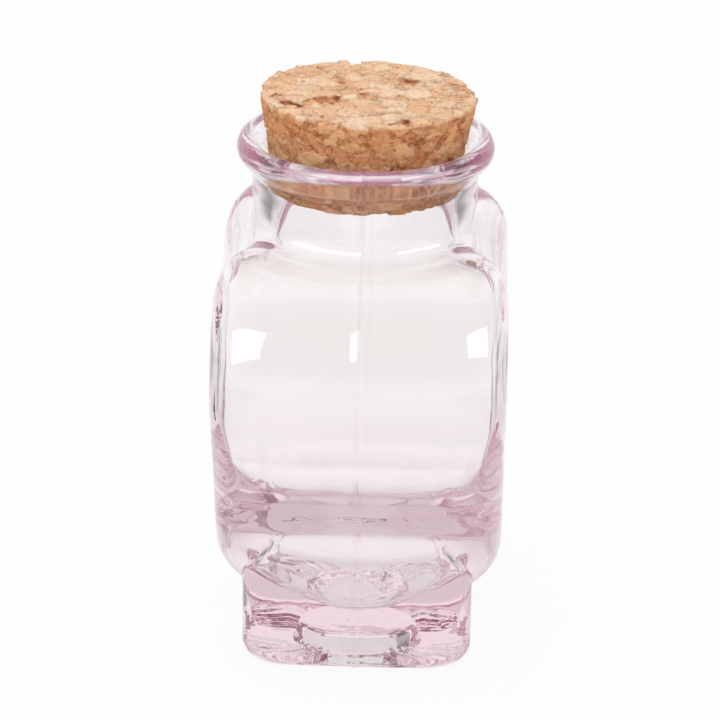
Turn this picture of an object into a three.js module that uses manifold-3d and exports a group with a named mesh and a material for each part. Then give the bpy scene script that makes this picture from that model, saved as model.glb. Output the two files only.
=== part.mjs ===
// A heart-shaped glass bottle with a flat foot and a tapered cork stopper.
// Millimetres, +Z up. The origin is the centre of the foot's underside, the heart lies in the XZ plane
// and its thickness runs along Y.
import * as THREE from "three";
import { mergeVertices } from "three/addons/utils/BufferGeometryUtils.js";
import Module from "manifold-3d";

// Heart body: two round lobes, a round tip and straight sides that are tangent to both.
const LOBE_RADIUS = 19.5;
const LOBE_OFFSET = 16; // lobe centre from the middle plane
const LOBE_RISE = 42.4; // lobe centres above the lowest point of the heart
const TIP_RADIUS = 20;
const CLEFT_RADIUS = 5; // hollow between the lobes, beside the neck
const BODY_THICKNESS = 47;
const BODY_EDGE = 8.8; // rounding between the heart's faces and its rim

// Cavity: a smaller heart with parallel walls. Low down its sides turn inwards over haunches of thick glass,
// and between these a well runs on into the foot.
const SIDE_WALL = 3;
const FACE_WALL = 2.4;
const CAVITY_EDGE = 4.5;
const HAUNCH_HEIGHT = 33; // table to where the haunches start on the cavity's sides
const HAUNCH_SLOPE = 0.85; // rise over run
const WELL_WIDTH = 25;
const WELL_DEPTH = 30.8;
const WELL_CORNER = 8;
const WELL_EDGE = 6;
const FLOOR_THICKNESS = 8.2; // table to the bottom of the well

// Foot: a solid block with round corners, hollowed a little underneath.
const FOOT_WIDTH = 40.4; // along the heart's width
const FOOT_DEPTH = 37.7; // along the heart's thickness
const FOOT_HEIGHT = 9.6; // table to the lowest point of the heart
const FOOT_CORNER = 8;
const FOOT_EDGE = 2.2;
const FOOT_RIM = 4.65; // flat ring that the bottle stands on, at its narrowest
const RECESS_DEPTH = 3.5; // round recess inside that ring
const RECESS_DRAFT = 0.9; // radius lost from the recess's mouth to its roof

// Cork stopper.
const CORK_TOP_RADIUS = 17.5;
const CORK_NARROWING = 2.6; // radius lost from the top to the bottom
const CORK_LENGTH = 15.5;
const CORK_PROUD = 6.8; // top of the cork above the lip
const CORK_EDGE = 0.6;
const CORK_CLEARANCE = 0.25; // cork to glass, all round the seat

// Neck and lip, built around the cork.
const NECK_HEIGHT = 14.8; // top of the lobes to the top of the lip
const NECK_WALL = 2.1; // glass round the top of the cork's seat
const NECK_FILLET = 1.2; // rounding of the neck into the lobes
const NECK_SKIRT = 3; // how far the neck spreads on its way down into the cleft
const SEAT_TAIL = 0.5; // the seat runs this far below the cork
const SEAT_LEDGE = 1.45; // radius lost between the seat and the bore under it
const SEAT_LEDGE_HEIGHT = 1.5;
const LIP_OVERHANG = 2.5; // widest ring of the lip beyond the neck
const LIP_ROUNDING = 2.1; // crest of the lip in from its widest ring
const LIP_SHOULDER = 2.4; // crest of the lip down to its widest ring
const LIP_UNDERSIDE = 2.6; // widest ring down to the neck
const MOUTH_DEPTH = 3.2; // crest of the lip down to the cork's seat

// Facets.
const ROUND_SEGMENTS = 64;
const LOBE_SEGMENTS = 24;
const TIP_SEGMENTS = 6;
const SIDE_SEGMENTS = 4;
const CLEFT_SEGMENTS = 4;
const EDGE_SEGMENTS = 6;
const BLOCK_EDGE_SEGMENTS = 4;
const ARC_SEGMENTS = 5;
const OVERSHOOT = 1; // how far a cutting solid runs past the face that it cuts

// Heights that follow from the sizes above.
const tipCentre = FOOT_HEIGHT + TIP_RADIUS;
const lobeHeight = FOOT_HEIGHT + LOBE_RISE;
const lobeTop = lobeHeight + LOBE_RADIUS;
const lipTop = lobeTop + NECK_HEIGHT;
const corkTop = lipTop + CORK_PROUD;
const corkBottom = corkTop - CORK_LENGTH;
const seatBottom = corkBottom - SEAT_TAIL;
const seatTop = lipTop - MOUTH_DEPTH;

// How far the heart's straight sides lean out from upright.
const tipToLobe = Math.hypot(LOBE_OFFSET, lobeHeight - tipCentre);
const sideLean = Math.atan2(LOBE_OFFSET, lobeHeight - tipCentre) + Math.asin((LOBE_RADIUS - TIP_RADIUS) / tipToLobe);

// Radius of the cork at a height, and of the glass seat around it.
const corkRadius = (height) => CORK_TOP_RADIUS - ((corkTop - height) / CORK_LENGTH) * CORK_NARROWING;
const seatRadius = (height) => corkRadius(height) + CORK_CLEARANCE;

// Radii of the neck that follow from the seat.
const neckRadius = seatRadius(seatTop) + NECK_WALL;
const lipRadius = neckRadius + LIP_OVERHANG;
const crestRadius = lipRadius - LIP_ROUNDING;
const boreRadius = seatRadius(seatBottom) - SEAT_LEDGE;

const wasm = await Module();
wasm.setup();

// A closed three.js geometry as a solid that can be joined and cut. Triangles that collapse to a line where
// a profile meets its axis are dropped.
function solidFrom(geometry) {
  const bare = geometry.clone();
  bare.deleteAttribute("normal");
  bare.deleteAttribute("uv");
  const merged = mergeVertices(bare);
  const corners = merged.index.array;
  const triangles = [];
  for (let i = 0; i < corners.length; i += 3) {
    const [a, b, c] = corners.slice(i, i + 3);
    if (a !== b && b !== c && c !== a) triangles.push(a, b, c);
  }
  return new wasm.Manifold(
    new wasm.Mesh({
      numProp: 3,
      vertProperties: new Float32Array(merged.attributes.position.array),
      triVerts: new Uint32Array(triangles),
    }),
  );
}

// A solid's faces as a three.js geometry.
function geometryFrom(solid) {
  const { vertProperties, triVerts } = solid.getMesh();
  const geometry = new THREE.BufferGeometry();
  geometry.setAttribute("position", new THREE.BufferAttribute(vertProperties, 3));
  geometry.setIndex(new THREE.BufferAttribute(triVerts, 1));
  geometry.computeVertexNormals();
  return geometry;
}

// A solid of revolution about +Z, from a profile of (radius, height) that runs upwards from axis to axis.
function turned(profile) {
  return new THREE.LatheGeometry(profile, ROUND_SEGMENTS).rotateX(Math.PI / 2);
}

const at = (radius, height) => new THREE.Vector2(radius, height);

// Points along an elliptical arc between two angles in degrees, both ends included.
function arc(centre, radiusX, radiusY, fromDegrees, toDegrees, segments = ARC_SEGMENTS) {
  const from = THREE.MathUtils.degToRad(fromDegrees);
  const to = THREE.MathUtils.degToRad(toDegrees);
  const curve = new THREE.EllipseCurve(centre.x, centre.y, radiusX, radiusY, from, to, to < from);
  return curve.getPoints(segments);
}

// Height of the centre of the cleft's arc, which touches both lobes.
function cleftCentre(lobeRadius) {
  return lobeHeight + Math.sqrt((lobeRadius + CLEFT_RADIUS) ** 2 - LOBE_OFFSET ** 2);
}

// The heart's outline, anticlockwise in (x, z), one wall thickness inside the outer one and drawn in by an
// inset. Its arcs keep their centres, so every inset has the same number of points and lies parallel.
function heartOutline(wall, inset) {
  const lobe = at(LOBE_OFFSET, lobeHeight);
  const tip = at(0, tipCentre);
  const sideAngle = -THREE.MathUtils.radToDeg(sideLean);

  const cleft = at(0, cleftCentre(LOBE_RADIUS - wall));
  const cleftAngle = THREE.MathUtils.radToDeg(Math.atan2(cleft.y - lobe.y, cleft.x - lobe.x));

  const tipInset = TIP_RADIUS - wall - inset;
  const lobeInset = LOBE_RADIUS - wall - inset;
  const cleftInset = CLEFT_RADIUS + inset;
  const tipArc = arc(tip, tipInset, tipInset, -90, sideAngle, TIP_SEGMENTS);
  const lobeArc = arc(lobe, lobeInset, lobeInset, sideAngle, cleftAngle, LOBE_SEGMENTS);
  const cleftArc = arc(cleft, cleftInset, cleftInset, cleftAngle - 180, -90, CLEFT_SEGMENTS);
  const side = new THREE.LineCurve(tipArc.at(-1), lobeArc[0]).getPoints(SIDE_SEGMENTS).slice(1, -1);

  const right = [...tipArc, ...side, ...lobeArc, ...cleftArc.slice(1)];
  const left = right.slice(1, -1).reverse().map((p) => at(-p.x, p.y));
  return [...right, ...left];
}

// The funnel over the haunches: a wide V, anticlockwise in (x, z), that meets the cavity's sides at the height
// where the haunches start.
function funnelOutline(inset) {
  const side = TIP_RADIUS - SIDE_WALL + Math.sin(sideLean) * (HAUNCH_HEIGHT - tipCentre);
  const bottom = HAUNCH_HEIGHT - (HAUNCH_SLOPE * side) / Math.cos(sideLean);
  const shift = inset * Math.hypot(1, HAUNCH_SLOPE);
  const halfWidth = (lobeTop - bottom) / HAUNCH_SLOPE;
  return [at(0, bottom + shift), at(halfWidth, lobeTop + shift), at(-halfWidth, lobeTop + shift)];
}

// A slab along Y whose rim is rounded into both faces: parallel outlines, lofted.
function roundedSlab(outlineAt, thickness, edge) {
  const layers = [];
  for (const face of [-1, 1]) {
    for (let i = 0; i <= EDGE_SEGMENTS; i++) {
      const step = face < 0 ? i : EDGE_SEGMENTS - i;
      const angle = (step / EDGE_SEGMENTS) * (Math.PI / 2);
      const inset = edge * (1 - Math.sin(angle));
      const y = face * (thickness / 2 - edge * (1 - Math.cos(angle)));
      layers.push({ outline: outlineAt(inset), y });
    }
  }
  const count = layers[0].outline.length;
  const positions = layers.flatMap(({ outline, y }) => outline.flatMap((p) => [p.x, y, p.y]));
  const triangles = [];
  for (let layer = 0; layer + 1 < layers.length; layer++) {
    for (let i = 0; i < count; i++) {
      const a = layer * count + i;
      const b = layer * count + ((i + 1) % count);
      triangles.push(a, a + count, b, b, a + count, b + count);
    }
  }
  const last = (layers.length - 1) * count;
  for (const [a, b, c] of THREE.ShapeUtils.triangulateShape(layers[0].outline, [])) {
    triangles.push(a, b, c, last + a, last + c, last + b);
  }
  const geometry = new THREE.BufferGeometry();
  geometry.setAttribute("position", new THREE.Float32BufferAttribute(positions, 3));
  geometry.setIndex(triangles);
  return geometry;
}

// A block with round corners and eased edges, from one height to another.
function roundedBlock(width, depth, corners, edge, from, to) {
  const halfWidth = width / 2 - edge;
  const halfDepth = depth / 2 - edge;
  const corner = corners - edge;
  const plan = new THREE.Shape();
  plan.absarc(halfWidth - corner, halfDepth - corner, corner, 0, Math.PI / 2);
  plan.absarc(corner - halfWidth, halfDepth - corner, corner, Math.PI / 2, Math.PI);
  plan.absarc(corner - halfWidth, corner - halfDepth, corner, Math.PI, Math.PI * 1.5);
  plan.absarc(halfWidth - corner, corner - halfDepth, corner, Math.PI * 1.5, Math.PI * 2);
  const block = new THREE.ExtrudeGeometry(plan, {
    depth: to - from - 2 * edge,
    curveSegments: ARC_SEGMENTS,
    bevelThickness: edge,
    bevelSize: edge,
    bevelSegments: BLOCK_EDGE_SEGMENTS,
  });
  return block.translate(0, 0, from + edge);
}

// The round recess that is pressed into the foot's underside, inside the rim that it stands on.
function footRecess() {
  const mouth = Math.min(FOOT_WIDTH, FOOT_DEPTH) / 2 - FOOT_EDGE - FOOT_RIM;
  return turned([
    at(0, -OVERSHOOT),
    at(mouth, -OVERSHOOT),
    at(mouth, 0),
    at(mouth - RECESS_DRAFT, RECESS_DEPTH),
    at(0, RECESS_DEPTH),
  ]);
}

// The neck's outside: a skirt down into the cleft, a fillet on the lobes, a straight neck and a rounded lip.
function neckOutside() {
  const skirtRadius = neckRadius + NECK_SKIRT;
  const cleftFloor = cleftCentre(LOBE_RADIUS) - CLEFT_RADIUS;
  const filletCentre = at(neckRadius + NECK_FILLET, lobeTop + NECK_FILLET);
  const fillet = arc(filletCentre, NECK_FILLET, NECK_FILLET, 270, 180);
  const widest = lipTop - LIP_SHOULDER;
  const underside = arc(at(neckRadius, widest), LIP_OVERHANG, LIP_UNDERSIDE, -90, 0);
  const shoulder = arc(at(crestRadius, widest), LIP_ROUNDING, LIP_SHOULDER, 0, 90);
  return turned([
    at(0, lobeHeight),
    at(skirtRadius, lobeHeight),
    at(skirtRadius, cleftFloor),
    ...fillet,
    ...underside,
    ...shoulder.slice(1),
    at(0, lipTop),
  ]);
}

// The neck's inside: a bore into the cavity, the tapered seat and the rounded mouth.
function neckInside() {
  const mouth = arc(at(crestRadius, seatTop), crestRadius - seatRadius(seatTop), MOUTH_DEPTH, 180, 90);
  return turned([
    at(0, lobeHeight),
    at(boreRadius, lobeHeight),
    at(boreRadius, seatBottom - SEAT_LEDGE_HEIGHT),
    at(seatRadius(seatBottom), seatBottom),
    ...mouth,
    at(crestRadius, lipTop + OVERSHOOT),
    at(0, lipTop + OVERSHOOT),
  ]);
}

function glassBottle() {
  const foot = roundedBlock(FOOT_WIDTH, FOOT_DEPTH, FOOT_CORNER, FOOT_EDGE, 0, tipCentre + FOOT_EDGE);
  const outside = solidFrom(roundedSlab((inset) => heartOutline(0, inset), BODY_THICKNESS, BODY_EDGE))
    .add(solidFrom(foot))
    .add(solidFrom(neckOutside()));
  const room = BODY_THICKNESS - 2 * FACE_WALL;
  const well = roundedBlock(WELL_WIDTH, WELL_DEPTH, WELL_CORNER, WELL_EDGE, FLOOR_THICKNESS, HAUNCH_HEIGHT);
  const inside = solidFrom(roundedSlab((inset) => heartOutline(SIDE_WALL, inset), room, CAVITY_EDGE))
    .intersect(solidFrom(roundedSlab(funnelOutline, room, CAVITY_EDGE)))
    .add(solidFrom(well))
    .add(solidFrom(neckInside()));
  return geometryFrom(outside.subtract(inside).subtract(solidFrom(footRecess())));
}

// The stopper: a plain taper with its two edges eased.
function corkStopper() {
  const bottomEdge = corkBottom + CORK_EDGE;
  const topEdge = corkTop - CORK_EDGE;
  return turned([
    at(0, corkBottom),
    at(corkRadius(corkBottom) - CORK_EDGE, corkBottom),
    at(corkRadius(bottomEdge), bottomEdge),
    at(corkRadius(topEdge), topEdge),
    at(CORK_TOP_RADIUS - CORK_EDGE, corkTop),
    at(0, corkTop),
  ]);
}

function piece(name, geometry, material) {
  const mesh = new THREE.Mesh(geometry, material);
  mesh.name = name;
  return mesh;
}

const pinkGlass = new THREE.MeshStandardMaterial({
  color: 0xf3dfe8,
  roughness: 0.05,
  metalness: 0,
  transparent: true,
  opacity: 0.4,
});
const corkMaterial = new THREE.MeshStandardMaterial({ color: 0xd2a679, roughness: 0.9, metalness: 0 });

const bottle = new THREE.Group();
bottle.add(piece("glass_bottle", glassBottle(), pinkGlass));
bottle.add(piece("cork_stopper", corkStopper(), corkMaterial));

export default bottle;
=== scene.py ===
import math

import bpy
from mathutils import Matrix, Quaternion, Vector


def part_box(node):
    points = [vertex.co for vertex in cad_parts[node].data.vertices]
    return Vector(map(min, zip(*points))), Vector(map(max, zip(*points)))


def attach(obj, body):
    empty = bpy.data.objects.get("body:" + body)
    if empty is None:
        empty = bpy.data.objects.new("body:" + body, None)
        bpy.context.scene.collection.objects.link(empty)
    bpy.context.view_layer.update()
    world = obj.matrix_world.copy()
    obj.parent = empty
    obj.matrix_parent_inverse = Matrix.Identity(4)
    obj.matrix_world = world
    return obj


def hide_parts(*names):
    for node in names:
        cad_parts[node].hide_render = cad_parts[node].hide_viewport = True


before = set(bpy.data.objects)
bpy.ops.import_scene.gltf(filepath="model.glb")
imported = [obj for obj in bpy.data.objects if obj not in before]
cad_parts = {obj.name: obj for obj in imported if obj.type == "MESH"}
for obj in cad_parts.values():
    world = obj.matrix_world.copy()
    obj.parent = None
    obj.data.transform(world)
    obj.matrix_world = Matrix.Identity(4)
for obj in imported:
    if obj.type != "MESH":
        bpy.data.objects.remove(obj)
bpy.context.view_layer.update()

millimetre = 0.001
plainWhite = (1, 1, 1, 1)


# Node helpers

class Field:
    # a float inside a node tree; arithmetic on it adds Math nodes
    def __init__(self, tree, socket):
        self.tree = tree
        self.socket = socket

    def math(self, operation, *others):
        return mathField(self.tree, operation, self, *others)

    def __add__(self, other):
        return self.math("ADD", other)

    def __radd__(self, other):
        return self.math("ADD", other)

    def __sub__(self, other):
        return self.math("SUBTRACT", other)

    def __rsub__(self, other):
        return mathField(self.tree, "SUBTRACT", other, self)

    def __mul__(self, other):
        return self.math("MULTIPLY", other)

    def __rmul__(self, other):
        return self.math("MULTIPLY", other)

    def __truediv__(self, other):
        return self.math("DIVIDE", other)

    def __rtruediv__(self, other):
        return mathField(self.tree, "DIVIDE", other, self)

    def __neg__(self):
        return self.math("MULTIPLY", -1.0)


def mathField(tree, operation, *values):
    node = tree.nodes.new("ShaderNodeMath")
    node.operation = operation
    for socket, value in zip(node.inputs, values):
        feed(tree, socket, value)
    return Field(tree, node.outputs[0])


def feed(tree, socket, value):
    if isinstance(value, Field):
        tree.links.new(value.socket, socket)
    elif isinstance(value, bpy.types.NodeSocket):
        tree.links.new(value, socket)
    else:
        socket.default_value = value


def addNode(tree, kind, inputs=None, **settings):
    node = tree.nodes.new(kind)
    for key, value in settings.items():
        setattr(node, key, value)
    for key, value in (inputs or {}).items():
        feed(tree, node.inputs[key], value)
    return node


def vectorParts(tree, socket, scale=1.0):
    parts = addNode(tree, "ShaderNodeSeparateXYZ", {0: socket})
    return [Field(tree, output) * scale for output in parts.outputs]


def combined(tree, *parts):
    return addNode(tree, "ShaderNodeCombineXYZ", dict(enumerate(parts))).outputs[0]


def vectorMath(tree, operation, *vectors):
    node = addNode(tree, "ShaderNodeVectorMath", dict(enumerate(vectors)), operation=operation)
    return node.outputs[0]


def scaled(tree, vector, factor):
    node = addNode(tree, "ShaderNodeVectorMath", {0: vector, "Scale": factor}, operation="SCALE")
    return node.outputs[0]


def smaller(a, b):
    return a.math("MINIMUM", b)


def larger(a, b):
    return a.math("MAXIMUM", b)


def hypotenuse(*sides):
    total = sides[0] * sides[0]
    for side in sides[1:]:
        total = total + side * side
    return total.math("SQRT")


def blendJoin(a, b, width):
    return a.math("SMOOTH_MIN", b, width)


def blendCut(a, b, width):
    return a.math("SMOOTH_MAX", -b, width)


def roundJoin(a, b, radius):
    # a hollow fillet with clear edges
    nearest = larger(smaller(a, b), radius)
    return nearest - hypotenuse(larger(radius - a, 0.0), larger(radius - b, 0.0))


def ramped(value, low, high, atLow=0.0, atHigh=1.0):
    # changes smoothly from atLow to atHigh while value goes from low to high
    inputs = {"Value": value, "From Min": low, "From Max": high, "To Min": atLow, "To Max": atHigh}
    node = addNode(value.tree, "ShaderNodeMapRange", inputs, interpolation_type="SMOOTHSTEP")
    return Field(value.tree, node.outputs[0])


def noiseField(tree, point, length, detail, roughness=0.6):
    # point and length in one unit
    noise = addNode(tree, "ShaderNodeTexNoise", {"Scale": 1.0, "Detail": detail, "Roughness": roughness})
    feed(tree, noise.inputs["Vector"], scaled(tree, point, 1.0 / length))
    return Field(tree, noise.outputs[0])


def mixColour(tree, share, first, second, blend="MIX"):
    node = addNode(tree, "ShaderNodeMix", data_type="RGBA", blend_type=blend)
    feed(tree, node.inputs["Factor"], share)
    sockets = [socket for socket in node.inputs if socket.type == "RGBA"]
    feed(tree, sockets[0], first)
    feed(tree, sockets[1], second)
    return [socket for socket in node.outputs if socket.type == "RGBA"][0]


def nodeTree(name, inputs, outputs):
    tree = bpy.data.node_groups.new(name, "GeometryNodeTree")
    for label, kind, value in inputs:
        socket = tree.interface.new_socket(label, in_out="INPUT", socket_type=kind)
        if value is not None:
            socket.default_value = value
    for label, kind in outputs:
        tree.interface.new_socket(label, in_out="OUTPUT", socket_type=kind)
    return tree, tree.nodes.new("NodeGroupInput"), tree.nodes.new("NodeGroupOutput")


def sizeInputs(sizes):
    return [(label, "NodeSocketFloat", value) for label, value in sizes.items()]


def shapeTree(name, sizes):
    inputs = [("Geometry", "NodeSocketGeometry", None)] + sizeInputs(sizes)
    return nodeTree(name, inputs, [("Geometry", "NodeSocketGeometry")])


def surfaceOf(tree, distance, low, high, voxel):
    # the mesh where a distance in mm is zero; corners in metres, voxel in mm
    farOutside = -10.0
    cube = addNode(tree, "GeometryNodeVolumeCube", {"Min": low, "Max": high, "Background": farOutside})
    feed(tree, cube.inputs["Density"], -distance)
    for axis, side in zip("XYZ", high - low):
        cube.inputs[f"Resolution {axis}"].default_value = round(side / (voxel * millimetre))
    surface = addNode(tree, "GeometryNodeVolumeToMesh", {"Volume": cube.outputs[0], "Threshold": 0.0})
    return surface.outputs[0]


def finishTree(tree, end, mesh, material):
    real = addNode(tree, "GeometryNodeRealizeInstances", {0: mesh}).outputs[0]
    painted = addNode(tree, "GeometryNodeSetMaterial", {"Geometry": real, "Material": material})
    tree.links.new(painted.outputs[0], end.inputs["Geometry"])


def bakeNodes(name, tree, values):
    # runs a Geometry Nodes tree once and keeps its result as a plain mesh
    host = bpy.data.objects.new(name, bpy.data.meshes.new(name + "Start"))
    bpy.context.scene.collection.objects.link(host)
    modifier = host.modifiers.new("shape", "NODES")
    modifier.node_group = tree
    for item in tree.interface.items_tree:
        if item.in_out == "INPUT" and item.name in values:
            modifier[item.identifier] = values[item.name]
    bpy.context.view_layer.update()
    evaluated = host.evaluated_get(bpy.context.evaluated_depsgraph_get())
    finished = bpy.data.meshes.new_from_object(evaluated)
    host.modifiers.remove(modifier)
    host.data = finished
    finished.name = name
    return host


def newMaterial(name):
    material = bpy.data.materials.new(name)
    material.use_nodes = True
    tree = material.node_tree
    tree.nodes.clear()
    return material, tree, tree.nodes.new("ShaderNodeOutputMaterial")


# Pink glass bottle

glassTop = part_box("glass_bottle")[1][2] / millimetre
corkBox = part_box("cork_stopper")
corkLow, corkHigh = (corner[2] / millimetre for corner in corkBox)
corkTaper = 0.168
seatTail = 0.5  # the cork's seat runs this far below the cork

bottleSettings = {
    "sizes": {  # mm
        "Lobe radius": 19.5,
        "Lobe offset": 16.0,
        "Lobe height": 52.0,
        "Tip radius": 20.0,
        "Tip height": 29.6,
        "Cleft blend": 9.0,
        "Half thickness": 23.5,
        "Rim rounding top": 8.5,
        "Rim rounding low": 9.0,
        "Rim low height": 24.0,
        "Side wall": 2.6,
        "Face wall": 2.1,
        "Face wall middle": 1.1,
        "Face thick to": 2.0,
        "Face thin from": 14.0,
        "Cavity tip radius": 17.4,
        "Cavity tip height": 29.6,
        "Haunch half width": 22.6,
        "Haunch height": 33.0,
        "Haunch slope": 0.85,
        "Haunch rise": 5.5,
        "Haunch rise power": 8.0,
        "Haunch blend": 2.0,
        "Cavity rounding": 3.4,
        "Well half width": 12.5,
        "Well half depth": 15.4,
        "Well corner": 4.0,
        "Well rounding": 2.5,
        "Well floor": 8.2,
        "Well floor rise": 6.5,
        "Well top": 30.0,
        "Well blend": 4.0,
        "Foot half width": 20.2,
        "Foot half depth": 18.85,
        "Foot corner": 8.0,
        "Foot top": 34.0,
        "Foot edge": 2.2,
        "Foot fillet": 1.5,
        "Foot side fillet": 0.3,
        "Recess radius": 10.5,
        "Recess depth": 3.5,
        "Recess draft": 0.25,
        "Recess rounding": 0.9,
        "Neck radius": 18.2,
        "Neck blend": 4.0,
        "Lip top": glassTop,
        "Lip ring radius": 18.5,
        "Lip bead": 2.2,
        "Lip blend": 4.0,
        "Mouth slope": 0.8,
        "Mouth steepness": 0.7,
        "Mouth blend": 2.0,
        "Bore radius": 15.3,
        "Seat low": corkLow - seatTail,
        "Seat low radius": 15.07,
        "Seat taper": corkTaper,
        "Seat blend": 1.2,
        "Shoulder blend": 9.0,
        "Cut rounding": 1.0,
        "Wave height": 0.12,
        "Wave length": 11.0,
        "Face wave height": 0.4,
        "Face wave from": 14.0,
        "Face wave to": 19.0,
        "Settle height": 0.14,
        "Settle length": 2.4,
        "Settle stretch": 4.0,
        "Settle low": 25.0,
        "Settle high": 33.0,
        "Dimple height": 0.16,
        "Dimple length": 3.4,
        "Dimples below": 11.0,
        "Dimples end": 24.0,
        "Knurl count": 44.0,
        "Knurl depth": 0.5,
        "Knurl corner from": 0.68,
        "Knurl corner full": 0.85,
        "Knurl start": 0.6,
        "Knurl end": 2.6,
        "Knurl inset": 0.7,
        "Knurl full inset": 2.2,
        "Seam height": 0.12,
        "Seam width": 0.55,
    },
    "grid": {  # mm
        "voxel": 0.65,
        "low": (-36.6, -24.6, -1.2),
        "high": (36.6, 24.6, 87.6),
        "pulls": 3,
        "probe": 0.03,
        "flattest": 0.05,
    },
    "finish": {
        "tint": (0.905, 0.72, 0.80, 1),
        "tintPerMetre": 31.0,
        "ior": 1.5,
        "lipHaze": 0.08,
        "hazeFrom": 75.5,
        "hazeTo": 79.0,
        "seamWidth": 0.2,
        "seamMm": 0.06,
        "seamBreaks": 9.0,
        "breakDetail": 2.0,
        "breakFrom": 0.3,
        "breakTo": 0.6,
        # painted shade: a faint pinkish line along the mould seam
        "seamShadeTint": (0.975, 0.95, 0.96, 1),
        "orangePeelMm": 0.004,
        "orangePeelLength": 2.0,
        "orangePeelDetail": 1.0,
    },
}
bottleSizes = bottleSettings["sizes"]
bottleGrid = bottleSettings["grid"]


def heartDistance(x, z, size, wall, tipRadius, tipHeight):
    # two round tapers, each from the tip to one lobe, joined softly in the cleft
    lobeRadius = size["Lobe radius"] - wall
    offset = size["Lobe offset"]
    rise = size["Lobe height"] - tipHeight
    length = hypotenuse(offset, rise)
    growth = (lobeRadius - tipRadius) / length
    slip = growth / (1.0 - growth * growth).math("SQRT")
    halves = []
    for side in (1.0, -1.0):
        sideways = x * side
        upwards = z - tipHeight
        along = (sideways * offset + upwards * rise) / length
        across = ((sideways * rise - upwards * offset) / length).math("ABSOLUTE")
        share = smaller(larger((along + across * slip) / length, 0.0), 1.0)
        reach = hypotenuse(across, along - share * length)
        halves.append(reach - (tipRadius + (lobeRadius - tipRadius) * share))
    return blendJoin(halves[0], halves[1], size["Cleft blend"])


def roundedSlab(flat, beyond, rounding):
    # an outline with thickness, its edge rounded; beyond is the height past the slab's face
    u = flat + rounding
    v = beyond + rounding
    inner = smaller(larger(u, v), 0.0)
    outer = hypotenuse(larger(u, 0.0), larger(v, 0.0))
    return inner + outer - rounding


def roundedPlan(x, y, halfWidth, halfDepth, corner):
    # distance to a rectangle with round corners
    u = x.math("ABSOLUTE") - halfWidth + corner
    v = y.math("ABSOLUTE") - halfDepth + corner
    return hypotenuse(larger(u, 0.0), larger(v, 0.0)) + smaller(larger(u, v), 0.0) - corner


def seamLine(y, width):
    # 1 on the mould seam, 0 away from it
    across = y / width
    square = across * across
    return 1.0 / (1.0 + square * square)


def ripples(tree, point, length, height):
    # soft waves, point in metres
    noise = noiseField(tree, point, length * millimetre, detail=1.0, roughness=0.4)
    return (noise - 0.5) * 2.0 * height


def neckOutside(x, y, z, size):
    radius = hypotenuse(x, y)
    aboveBead = z - (size["Lip top"] - size["Lip bead"])
    neck = larger(larger(radius - size["Neck radius"], aboveBead), size["Lobe height"] - z)
    bead = hypotenuse(radius - size["Lip ring radius"], aboveBead) - size["Lip bead"]
    return blendJoin(neck, bead, size["Lip blend"])


def glassOutside(x, y, z, size, heart, footPlan):
    # heart on its foot, under the neck
    fromFace = y.math("ABSOLUTE")
    rimHeights = size["Rim low height"], size["Lobe height"]
    rim = ramped(z, *rimHeights, size["Rim rounding low"], size["Rim rounding top"])
    body = roundedSlab(heart, fromFace - size["Half thickness"], rim)
    foot = roundedSlab(footPlan, larger(-z, z - size["Foot top"]), size["Foot edge"])
    cornerEnds = size["Foot half depth"] - size["Foot corner"], size["Foot half depth"]
    fillet = ramped(fromFace, *cornerEnds, size["Foot fillet"], size["Foot side fillet"])
    outside = roundJoin(body, foot, fillet)
    outside = blendJoin(outside, neckOutside(x, y, z, size), size["Neck blend"])
    outside = outside - size["Seam height"] * seamLine(y, size["Seam width"])
    return larger(outside, -z)


def knurlDepth(x, y, z, size, footPlan):
    # short teeth under the corners of the foot
    angle = y.math("ARCTAN2", x)
    ridge = (angle * size["Knurl count"]).math("COSINE")
    nearCorner = (angle * 2.0).math("SINE").math("ABSOLUTE")
    depth = ramped(z, size["Knurl start"], size["Knurl end"], size["Knurl depth"], 0.0)
    depth = depth * ramped(-footPlan, size["Knurl inset"], size["Knurl full inset"])
    depth = depth * ramped(nearCorner, size["Knurl corner from"], size["Knurl corner full"])
    return (ridge + 1.0) * 0.5 * depth


def glassCavity(x, y, z, size, heart):
    # hollow heart, its faces thinner in the middle, with thick haunches and a well in the foot
    fromFace = y.math("ABSOLUTE")
    tip = size["Cavity tip radius"], size["Cavity tip height"]
    hollow = heartDistance(x, z, size, size["Side wall"], *tip)
    faceEnds = size["Face thick to"], size["Face thin from"]
    faceHalf = size["Half thickness"] - ramped(-heart, *faceEnds, size["Face wall"], size["Face wall middle"])
    rise = size["Haunch rise"] * (fromFace / faceHalf).math("POWER", size["Haunch rise power"])
    slope = size["Haunch slope"]
    haunch = slope * (x.math("ABSOLUTE") - size["Haunch half width"]) + size["Haunch height"] + rise - z
    haunch = haunch / (1.0 + slope * slope).math("SQRT")
    hollow = hollow.math("SMOOTH_MAX", haunch, size["Haunch blend"])
    cavity = roundedSlab(hollow, fromFace - faceHalf, size["Cavity rounding"])
    wellPlan = roundedPlan(x, y, size["Well half width"], size["Well half depth"], size["Well corner"])
    sag = y / size["Well half depth"]
    wellFloor = size["Well floor"] + size["Well floor rise"] * sag * sag
    well = roundedSlab(wellPlan, larger(wellFloor - z, z - size["Well top"]), size["Well rounding"])
    return blendJoin(cavity, well, size["Well blend"])


def glassMouth(x, y, z, size):
    # bore, tapered seat of the cork and flared mouth
    radius = hypotenuse(x, y)
    bore = larger(radius - size["Bore radius"], size["Lobe height"] - z)
    belowSeat = size["Seat low"] - z
    seat = larger(radius - (size["Seat low radius"] - belowSeat * size["Seat taper"]), belowSeat)
    flare = radius - size["Lip ring radius"] - (z - size["Lip top"]) * size["Mouth slope"]
    flare = larger(flare * size["Mouth steepness"], belowSeat)
    return blendJoin(blendJoin(bore, seat, size["Seat blend"]), flare, size["Mouth blend"])


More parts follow.
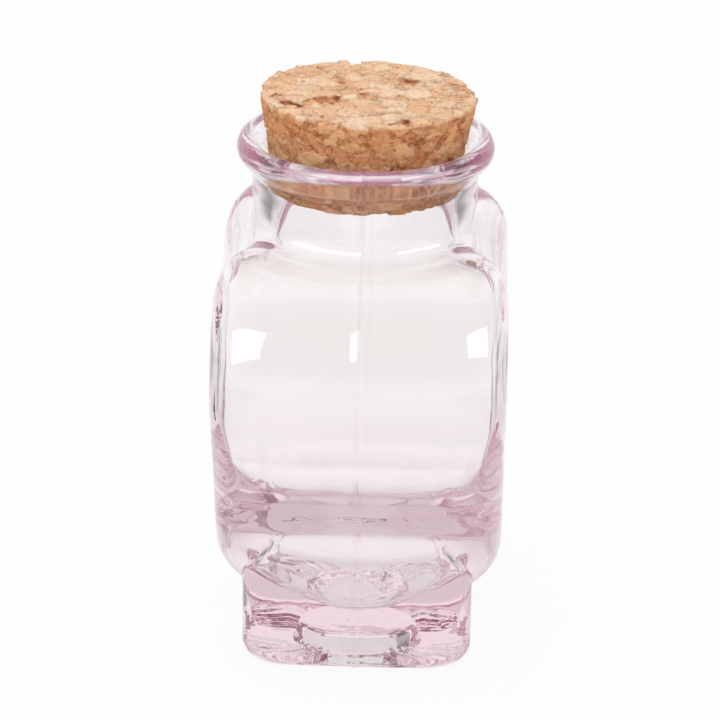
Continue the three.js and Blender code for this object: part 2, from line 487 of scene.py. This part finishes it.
def insideWaves(tree, point, y, z, size):
    # slow waves, stronger on the faces, and flat ones where the glass settled on the haunches
    faceEnds = size["Face wave from"], size["Face wave to"]
    height = ramped(y.math("ABSOLUTE"), *faceEnds, size["Wave height"], size["Face wave height"])
    waves = ripples(tree, point, size["Wave length"], height)
    flat = 1.0 / size["Settle stretch"]
    stretched = vectorMath(tree, "MULTIPLY", point, combined(tree, flat, flat, 1.0))
    settle = ripples(tree, stretched, size["Settle length"], size["Settle height"])
    middle = (size["Settle low"] + size["Settle high"]) * 0.5
    reach = (size["Settle high"] - size["Settle low"]) * 0.5
    offMiddle = (z - middle) / reach
    return waves + settle * larger(1.0 - offMiddle * offMiddle, 0.0)


def glassDistanceTree():
    inputs = [("Point", "NodeSocketVector", None)] + sizeInputs(bottleSizes)
    tree, start, end = nodeTree("glassDistance", inputs, [("Distance", "NodeSocketFloat")])
    size = {label: Field(tree, start.outputs[label]) for label in bottleSizes}
    point = start.outputs["Point"]
    x, y, z = vectorParts(tree, point, 1 / millimetre)
    heart = heartDistance(x, z, size, 0.0, size["Tip radius"], size["Tip height"])
    footPlan = roundedPlan(x, y, size["Foot half width"], size["Foot half depth"], size["Foot corner"])
    outside = glassOutside(x, y, z, size, heart, footPlan) + knurlDepth(x, y, z, size, footPlan)
    inside = blendJoin(glassCavity(x, y, z, size, heart), glassMouth(x, y, z, size), size["Shoulder blend"])
    dimpleHeight = ramped(z, size["Dimples below"], size["Dimples end"], size["Dimple height"], 0.0)
    dimples = ripples(tree, point, size["Dimple length"], dimpleHeight)
    inside = inside + insideWaves(tree, point, y, z, size) + dimples
    glass = blendCut(outside, inside, size["Cut rounding"])
    recessWall = hypotenuse(x, y) - size["Recess radius"] + z * size["Recess draft"]
    recess = roundedSlab(recessWall, z - size["Recess depth"] + dimples, size["Recess rounding"])
    feed(tree, end.inputs["Distance"], blendCut(glass, recess, size["Cut rounding"]))
    return tree


def groupWithSizes(tree, start, group):
    node = addNode(tree, "GeometryNodeGroup", node_tree=group)
    for label in bottleSizes:
        tree.links.new(start.outputs[label], node.inputs[label])
    return node


def pullTree(distanceTree):
    # one Newton step from a point near the glass onto its surface, and the surface's normal
    outputs = [("Offset", "NodeSocketVector"), ("Normal", "NodeSocketVector")]
    tree, start, end = nodeTree("pullToGlass", sizeInputs(bottleSizes), outputs)
    position = addNode(tree, "GeometryNodeInputPosition").outputs[0]
    probe = bottleGrid["probe"]

    def distanceAt(shift):
        node = groupWithSizes(tree, start, distanceTree)
        tree.links.new(vectorMath(tree, "ADD", position, shift), node.inputs["Point"])
        return Field(tree, node.outputs["Distance"])

    shifts = [[probe * millimetre * (axis == i) for i in range(3)] for axis in range(3)]
    slope = [(distanceAt(shift) - distanceAt([-part for part in shift])) / (2 * probe) for shift in shifts]
    steepness = slope[0] * slope[0] + slope[1] * slope[1] + slope[2] * slope[2]
    amount = distanceAt((0, 0, 0)) * -millimetre / larger(steepness, bottleGrid["flattest"])
    tree.links.new(combined(tree, *(part * amount for part in slope)), end.inputs["Offset"])
    tree.links.new(vectorMath(tree, "NORMALIZE", combined(tree, *slope)), end.inputs["Normal"])
    return tree


def bottleTree(material):
    distanceTree = glassDistanceTree()
    pull = pullTree(distanceTree)
    tree, start, end = shapeTree("bottleShape", bottleSizes)
    position = addNode(tree, "GeometryNodeInputPosition").outputs[0]
    distance = groupWithSizes(tree, start, distanceTree)
    tree.links.new(position, distance.inputs["Point"])
    low, high = (Vector(bottleGrid[corner]) * millimetre for corner in ("low", "high"))
    shape = surfaceOf(tree, Field(tree, distance.outputs["Distance"]), low, high, bottleGrid["voxel"])
    for _ in range(bottleGrid["pulls"]):
        offset = groupWithSizes(tree, start, pull).outputs["Offset"]
        shape = addNode(tree, "GeometryNodeSetPosition", {"Geometry": shape, "Offset": offset}).outputs[0]
    shape = addNode(tree, "GeometryNodeSetShadeSmooth", {0: shape}).outputs[0]
    normal = groupWithSizes(tree, start, pull).outputs["Normal"]
    shading = addNode(tree, "GeometryNodeSetMeshNormal", mode="FREE", domain="POINT")
    feed(tree, shading.inputs["Mesh"], shape)
    feed(tree, shading.inputs["Custom Normal"], normal)
    finishTree(tree, end, shading.outputs[0], material)
    return tree


def pinkGlass():
    finish = bottleSettings["finish"]
    material, tree, out = newMaterial("pinkGlass")
    point = scaled(tree, addNode(tree, "ShaderNodeTexCoord").outputs["Object"], 1 / millimetre)
    _, y, z = vectorParts(tree, point)
    haze = ramped(z, finish["hazeFrom"], finish["hazeTo"]) * finish["lipHaze"]
    patches = noiseField(tree, point, finish["seamBreaks"], finish["breakDetail"])
    seam = ramped(patches, finish["breakFrom"], finish["breakTo"]) * seamLine(y, finish["seamWidth"])
    peel = noiseField(tree, point, finish["orangePeelLength"], finish["orangePeelDetail"])
    height = seam * finish["seamMm"] + peel * finish["orangePeelMm"]
    bump = addNode(tree, "ShaderNodeBump", {"Height": height, "Strength": 1.0, "Distance": millimetre})
    shader = addNode(tree, "ShaderNodeBsdfPrincipled", {
        # painted shade: a faint pinkish line along the mould seam, standing in for how the seam's ridge bends
        # light
        "Base Color": mixColour(tree, seam, plainWhite, finish["seamShadeTint"]),
        "Transmission Weight": 1.0,
        "IOR": finish["ior"],
        "Roughness": haze,
        "Normal": bump.outputs[0],
    })
    volume = addNode(tree, "ShaderNodeVolumeAbsorption", {
        "Color": finish["tint"],
        "Density": finish["tintPerMetre"],
    })
    tree.links.new(shader.outputs[0], out.inputs["Surface"])
    tree.links.new(volume.outputs[0], out.inputs["Volume"])
    return material


bottle = bakeNodes("heartBottle", bottleTree(pinkGlass()), bottleSizes)
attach(bottle, "bottle")
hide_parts("glass_bottle")
print("glass bottle:", len(bottle.data.vertices), "vertices,", len(bottle.data.polygons), "faces")


# Cork stopper, pressed from granules

corkSettings = {
    "sizes": {  # mm
        "Low": corkLow,
        "High": corkHigh,
        "Top radius": (corkBox[1][0] - corkBox[0][0]) / 2 / millimetre,
        "Taper": corkTaper,
        "Edge": 0.5,
        "Lean": 0.021,
        "Lean height": 81.0,
        "Held below": 84.0,
        "Free above": 87.0,
        "Held out": 0.1,
        "Granule width": 3.0,
        "Crumb width": 1.3,
        "Broken share": 0.45,
        "Flattening": 1.9,
        "Sway": 2.4,
        "Sway length": 2.2,
        "Sway detail": 4.0,
        "Sway roughness": 0.62,
        "Granule step": 0.5,
        "Crumb step": 0.3,
        "Groove width": 0.3,
        "Groove depth": 0.25,
        "Pit share": 0.05,
        "Pit depth": 0.8,
    },
    "grid": {"voxel": 0.26, "margin": 1.2, "speckPoints": 2000.0},
    "finish": {
        "shades": [
            (0.0, (0.46, 0.20, 0.085, 1)),
            (0.15, (0.67, 0.37, 0.20, 1)),
            (0.4, (0.79, 0.51, 0.32, 1)),
            (0.7, (0.86, 0.59, 0.38, 1)),
            (1.0, (0.94, 0.74, 0.54, 1)),
        ],
        "middleShade": 0.66,
        "crumbShare": 0.5,
        "topContrast": 0.45,
        "sideContrast": 1.2,
        "speckleContrast": 1.1,
        "sideFrom": 0.1,
        "sideTo": 0.7,
        # painted shade and tint: the side is darkened as if less lit than the top, and made more orange
        "sideShadeAndTint": (0.9, 0.62, 0.42, 1),
        "warmTint": (1.0, 0.88, 0.78, 1),
        "warmFrom": 0.35,
        "warmTo": 0.9,
        "line": (0.27, 0.105, 0.04, 1),
        "lineWidth": 0.2,
        "lineStrength": 0.5,
        "lineFrom": 0.35,
        "lineTo": 0.6,
        "fleck": (0.11, 0.045, 0.018, 1),
        "fleckFrom": 0.66,
        "fleckTo": 0.74,
        "roughness": 0.9,
        "roughnessSwing": 0.2,
        "bumpMm": 0.4,
        "speckles": {  # length in mm, detail
            "shade": (0.8, 5.0),
            "warmth": (1.6, 2.0),
            "line": (2.5, 1.0),
            "fleck": (0.7, 2.0),
            "roughness": (0.9, 2.0),
            "bump": (0.5, 4.0),
        },
    },
}
corkSizes = corkSettings["sizes"]


def leanPoint(tree, point, size):
    # the cork stands a little askew: y runs downhill; the result is in mm
    x, y, z = vectorParts(tree, point, 1 / millimetre)
    leaningY = y - (z - size["Lean height"]) * size["Lean"]
    leaningZ = z + y * size["Lean"]
    return combined(tree, x, leaningY, leaningZ)


def cells(tree, point, width, flattening):
    # random colour of the nearest granule, and the distance to its edge in mm
    squeeze = combined(tree, 1.0 / width, 1.0 / width, flattening / width)
    place = vectorMath(tree, "MULTIPLY", point, squeeze)
    inputs = {"Vector": place, "Scale": 1.0, "Randomness": 1.0}
    middle = addNode(tree, "ShaderNodeTexVoronoi", inputs, feature="F1")
    edge = addNode(tree, "ShaderNodeTexVoronoi", inputs, feature="DISTANCE_TO_EDGE")
    return vectorParts(tree, middle.outputs["Color"]), Field(tree, edge.outputs["Distance"]) * width


def corkGrain(tree, point, size):
    # point in mm on the leaning cork; some granules are broken into crumbs
    noise = addNode(tree, "ShaderNodeTexNoise", {
        "Vector": scaled(tree, point, 1.0 / size["Sway length"]),
        "Scale": 1.0,
        "Detail": size["Sway detail"],
        "Roughness": size["Sway roughness"],
    })
    centred = vectorMath(tree, "SUBTRACT", noise.outputs["Color"], (0.5, 0.5, 0.5))
    moved = vectorMath(tree, "ADD", point, scaled(tree, centred, size["Sway"]))
    granule, granuleEdge = cells(tree, moved, size["Granule width"], size["Flattening"])
    crumb, crumbEdge = cells(tree, moved, size["Crumb width"], size["Flattening"])
    broken = granule[2].math("LESS_THAN", size["Broken share"])
    farAway = 100.0
    edge = smaller(granuleEdge, crumbEdge + (1.0 - broken) * farAway)
    return {"granule": granule, "crumb": crumb, "broken": broken, "edge": edge}


def corkDistance(tree, position, size):
    point = leanPoint(tree, position, size)
    x, y, z = vectorParts(tree, point)
    wall = size["Top radius"] + (z - size["High"]) * size["Taper"]
    middle = (size["Low"] + size["High"]) * 0.5
    half = (size["High"] - size["Low"]) * 0.5
    plain = roundedSlab(hypotenuse(x, y) - wall, (z - middle).math("ABSOLUTE") - half, size["Edge"])
    grain = corkGrain(tree, point, size)
    rise = (grain["granule"][0] - 0.5) * size["Granule step"]
    rise = rise + grain["broken"] * (grain["crumb"][0] - 0.5) * size["Crumb step"]
    groove = larger(1.0 - grain["edge"] / size["Groove width"], 0.0)
    rise = rise - groove * groove * size["Groove depth"]
    rise = rise - grain["granule"][1].math("LESS_THAN", size["Pit share"]) * size["Pit depth"]
    heights = {"Value": z, "From Min": size["Held below"], "From Max": size["Free above"]}
    free = Field(tree, addNode(tree, "ShaderNodeMapRange", heights).outputs[0])
    allowed = size["Held out"] + free * size["Granule step"]  # the seat holds the granules back
    return plain - smaller(rise, allowed)


def withoutSpecks(tree, mesh):
    # deletes the loose crumbs and closed bubbles that the grain leaves
    island = addNode(tree, "GeometryNodeInputMeshIsland").outputs["Island Index"]
    each = {"Value": 1.0, "Group ID": island}
    count = addNode(tree, "GeometryNodeAccumulateField", each, data_type="FLOAT", domain="POINT")
    few = Field(tree, count.outputs["Total"]).math("LESS_THAN", corkSettings["grid"]["speckPoints"])
    kept = addNode(tree, "GeometryNodeDeleteGeometry", {"Geometry": mesh, "Selection": few}, domain="POINT")
    return kept.outputs[0]


def corkTree(material):
    tree, start, end = shapeTree("corkShape", corkSizes)
    size = {label: Field(tree, start.outputs[label]) for label in corkSizes}
    position = addNode(tree, "GeometryNodeInputPosition").outputs[0]
    grid = corkSettings["grid"]
    reach = Vector((1.0, 1.0, 1.0)) * grid["margin"] * millimetre
    low, high = Vector(corkBox[0]) - reach, Vector(corkBox[1]) + reach
    shape = surfaceOf(tree, corkDistance(tree, position, size), low, high, grid["voxel"])
    shape = withoutSpecks(tree, shape)
    shape = addNode(tree, "GeometryNodeSetShadeSmooth", {0: shape}).outputs[0]
    finishTree(tree, end, shape, material)
    return tree


def shadeRamp(tree, shade, shades):
    ramp = addNode(tree, "ShaderNodeValToRGB", {0: shade})
    stops = ramp.color_ramp.elements
    for position, _ in shades[len(stops):]:
        stops.new(position)
    for stop, (position, colour) in zip(stops, shades):
        stop.position = position
        stop.color = colour
    return ramp.outputs[0]


def corkMaterial():
    finish = corkSettings["finish"]
    material, tree, out = newMaterial("pressedCork")
    point = leanPoint(tree, addNode(tree, "ShaderNodeTexCoord").outputs["Object"], corkSizes)
    grain = corkGrain(tree, point, corkSizes)
    depth = corkHigh - vectorParts(tree, point)[2]
    speckle = {name: noiseField(tree, point, *setting) for name, setting in finish["speckles"].items()}

    side = ramped(depth, finish["sideFrom"], finish["sideTo"])
    contrast = finish["topContrast"] + side * (finish["sideContrast"] - finish["topContrast"])
    crumbs = grain["broken"] * finish["crumbShare"]
    shade = grain["granule"][0] * (1.0 - crumbs) + crumbs * grain["crumb"][0]
    fine = (speckle["shade"] - 0.5) * (contrast + finish["speckleContrast"])
    shade = finish["middleShade"] + (shade - 0.5) * contrast + fine
    colour = shadeRamp(tree, shade, finish["shades"])

    warmth = ramped(grain["granule"][1] + (speckle["warmth"] - 0.5), finish["warmFrom"], finish["warmTo"])
    colour = mixColour(tree, warmth, colour, mixColour(tree, 1.0, colour, finish["warmTint"], "MULTIPLY"))
    line = (1.0 - ramped(grain["edge"], 0.0, finish["lineWidth"])) * finish["lineStrength"]
    line = line * ramped(speckle["line"], finish["lineFrom"], finish["lineTo"])
    colour = mixColour(tree, line, colour, finish["line"])
    fleck = ramped(speckle["fleck"], finish["fleckFrom"], finish["fleckTo"])
    colour = mixColour(tree, fleck, colour, finish["fleck"])
    # painted shade and tint: the side is darker, as if less lit than the top, and more orange
    colour = mixColour(tree, side, colour, mixColour(tree, 1.0, colour, finish["sideShadeAndTint"], "MULTIPLY"))

    bump = addNode(tree, "ShaderNodeBump", {
        "Height": speckle["bump"],
        "Strength": 1.0,
        "Distance": finish["bumpMm"] * millimetre,
    })
    shader = addNode(tree, "ShaderNodeBsdfPrincipled", {
        "Base Color": colour,
        "Roughness": finish["roughness"] + (speckle["roughness"] - 0.5) * finish["roughnessSwing"],
        "Normal": bump.outputs[0],
    })
    tree.links.new(shader.outputs[0], out.inputs["Surface"])
    return material


cork = bakeNodes("corkStopper", corkTree(corkMaterial()), corkSizes)
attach(cork, "cork")
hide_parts("cork_stopper")
print("cork:", len(cork.data.vertices), "vertices,", len(cork.data.polygons), "faces")


# Camera, at the photograph's angle

photoView = {
    "azimuth": 91.4,
    "elevation": 22.0,
    "roll": 0.9,
    "distance": 670.0,  # mm
    "target": (0.0, 0.0, 46.0),
    "targetPixel": (362.4, 365.1),
    "framePixels": 720,
    "focalPixels": 4077.0,
    "sensorMm": 36.0,
    "nearestMetres": 0.01,
}


def addCamera():
    azimuth, elevation, roll = (math.radians(photoView[key]) for key in ("azimuth", "elevation", "roll"))
    level = Vector((math.cos(azimuth), math.sin(azimuth), 0.0))
    ahead = Vector((-math.sin(azimuth), math.cos(azimuth), 0.0))
    outwards = Vector((0.0, 0.0, math.sin(elevation))) - ahead * math.cos(elevation)
    raised = outwards.cross(level)
    right = math.cos(roll) * level + math.sin(roll) * raised
    up = math.cos(roll) * raised - math.sin(roll) * level
    middle = photoView["framePixels"] / 2
    perPixel = photoView["distance"] / photoView["focalPixels"]
    shiftX, shiftY = ((pixel - middle) * perPixel for pixel in photoView["targetPixel"])
    aim = Vector(photoView["target"]) - right * shiftX + up * shiftY
    place = (aim + outwards * photoView["distance"]) * millimetre
    data = bpy.data.cameras.new("photoCamera")
    data.sensor_width = photoView["sensorMm"]
    data.lens = photoView["focalPixels"] / photoView["framePixels"] * data.sensor_width
    data.clip_start = photoView["nearestMetres"]
    camera = bpy.data.objects.new("photoCamera", data)
    bpy.context.scene.collection.objects.link(camera)
    turn = Matrix((right, up, outwards)).transposed()
    camera.matrix_world = Matrix.Translation(place) @ turn.to_4x4()
    bpy.context.scene.camera = camera


addCamera()
print("camera:", photoView["azimuth"], "degrees round,", photoView["elevation"], "degrees up")


# Floor

stage = {
    "radiusMetres": 1.2,
    "corners": 96,
    "floorColour": (0.93, 0.91, 0.89, 1),
    "whiteShare": 0.9,
    "shareThroughGlass": 0.4,
    "asideShadeColour": (0.32, 0.31, 0.32, 1),  # painted shade: a dark patch on the floor beside the bottle, seen only through the glass and in its gloss
    "shadeAsideFrom": 30.0,
    "shadeAsideTo": 130.0,
    "shadeBackFrom": 125.0,
    "shadeBackTo": 200.0,
}


def backgroundRay(tree):
    # 1 for rays from the camera, and for those that reach the stage by way of gloss or glass
    path = addNode(tree, "ShaderNodeLightPath").outputs
    kinds = [Field(tree, path[kind]) for kind in ("Is Camera Ray", "Is Glossy Ray", "Is Transmission Ray")]
    return larger(larger(kinds[0], kinds[1]), kinds[2])


def addFloor():
    corners, radius = stage["corners"], stage["radiusMetres"]
    bpy.ops.mesh.primitive_circle_add(vertices=corners, radius=radius, fill_type="NGON")
    floor = bpy.context.object
    floor.name = "floor"
    material, tree, out = newMaterial("paleFloor")
    camera = Field(tree, addNode(tree, "ShaderNodeLightPath").outputs["Is Camera Ray"])
    share = larger(camera * stage["whiteShare"], backgroundRay(tree) * stage["shareThroughGlass"])
    matt = addNode(tree, "ShaderNodeBsdfDiffuse", {"Color": stage["floorColour"]})
    bright = addNode(tree, "ShaderNodeEmission", {"Color": plainWhite, "Strength": 1.0})
    pale = addNode(tree, "ShaderNodeMixShader", {0: share, 1: matt.outputs[0], 2: bright.outputs[0]})

    # painted shade: the floor beside the bottle turns dark for rays that come by way of gloss or glass,
    # standing in for shadow there
    spot = vectorParts(tree, addNode(tree, "ShaderNodeTexCoord").outputs["Object"], 1 / millimetre)
    besideShade = ramped(spot[1].math("ABSOLUTE"), stage["shadeAsideFrom"], stage["shadeAsideTo"])
    besideShade = besideShade * (1.0 - ramped(-spot[0], stage["shadeBackFrom"], stage["shadeBackTo"]))
    besideShade = besideShade * backgroundRay(tree) * (1.0 - camera)
    paintedShade = addNode(tree, "ShaderNodeEmission", {"Color": stage["asideShadeColour"], "Strength": 1.0})
    surround = addNode(tree, "ShaderNodeMixShader", {0: besideShade, 1: pale.outputs[0], 2: paintedShade.outputs[0]})
    tree.links.new(surround.outputs[0], out.inputs["Surface"])
    floor.data.materials.append(material)


addFloor()
print("floor:", stage["radiusMetres"], "m in radius")


# Studio light: a white surround that dims towards the room, two cards and three softboxes

studio = {
    "behind": 1.0,
    "room": 0.3,
    "turn": 0.35,
    "roomAngle": 40.0,
    "roomFrom": 0.0,
    "roomTo": 0.4,
    "fill": 0.85,
    "fillThroughGlass": 1.55,
    "rightCard": 0.5,
    "leftCard": 0.2,
    "cardFrom": 0.55,
    "cardTo": 0.7,
    "cardBack": 0.1,
    "cardFront": 0.4,
}


def addWorld():
    world = bpy.data.worlds.new("studio")
    bpy.context.scene.world = world
    world.use_nodes = True
    tree = world.node_tree
    tree.nodes.clear()
    out = tree.nodes.new("ShaderNodeOutputWorld")
    direction = addNode(tree, "ShaderNodeTexCoord").outputs["Generated"]
    towardsCamera, sideways, height = vectorParts(tree, direction)
    angle = math.radians(studio["roomAngle"])
    towardsRoom = towardsCamera * math.cos(angle) + sideways * math.sin(angle)
    room = ramped(towardsRoom, -studio["turn"], studio["turn"])
    room = room * ramped(height, studio["roomFrom"], studio["roomTo"])
    right = ramped(sideways, studio["cardFrom"], studio["cardTo"]) * studio["rightCard"]
    left = ramped(-sideways, studio["cardFrom"], studio["cardTo"]) * studio["leftCard"]
    card = (right + left) * (1.0 - ramped(towardsCamera, studio["cardBack"], studio["cardFront"]))
    sky = studio["behind"] + room * (studio["room"] - studio["behind"])
    sky = sky * (1.0 - card)
    path = addNode(tree, "ShaderNodeLightPath").outputs
    camera = Field(tree, path["Is Camera Ray"])
    inside = Field(tree, path["Is Transmission Ray"])
    seen = backgroundRay(tree) * Field(tree, path["Diffuse Depth"]).math("LESS_THAN", 0.5)
    fill = studio["fill"] + inside * (studio["fillThroughGlass"] - studio["fill"])
    strength = camera + (1.0 - camera) * (seen * sky + (1.0 - seen) * fill)
    background = addNode(tree, "ShaderNodeBackground", {"Color": plainWhite, "Strength": strength})
    tree.links.new(background.outputs[0], out.inputs["Surface"])


addWorld()

softboxes = {  # mm and degrees
    "left": {"place": (375, -365, 390), "size": (760, 300), "roll": 23, "watts": 3.4, "lights": False},
    "right": {"place": (235, 470, 375), "size": (520, 230), "roll": -23, "watts": 1.9, "lights": False},
    "above": {"place": (100, -100, 700), "size": (400, 400), "watts": 1.2, "shines": False},
}
softboxAim = (0, 0, 45)
lightBounces = 48  # light bounces many times inside thick glass


def addSoftbox(name, setting):
    data = bpy.data.lights.new(name, "AREA")
    data.shape = "RECTANGLE"
    data.size, data.size_y = (side * millimetre for side in setting["size"])
    data.energy = setting["watts"]
    lamp = bpy.data.objects.new(name, data)
    bpy.context.scene.collection.objects.link(lamp)
    place = Vector(setting["place"])
    lamp.location = place * millimetre
    roll = Quaternion((0, 0, 1), math.radians(setting.get("roll", 0)))
    turn = (Vector(softboxAim) - place).to_track_quat("-Z", "Y") @ roll
    lamp.rotation_euler = turn.to_euler()
    lamp.visible_camera = False
    lamp.visible_glossy = setting.get("shines", True)
    lamp.visible_diffuse = setting.get("lights", True)
    lamp.visible_transmission = False


for name, setting in softboxes.items():
    addSoftbox(name, setting)
print("light: studio surround and", len(softboxes), "softboxes")

scene = bpy.context.scene
scene.view_settings.view_transform = "Standard"
for limit in ("max_bounces", "glossy_bounces", "transmission_bounces"):
    setattr(scene.cycles, limit, lightBounces)
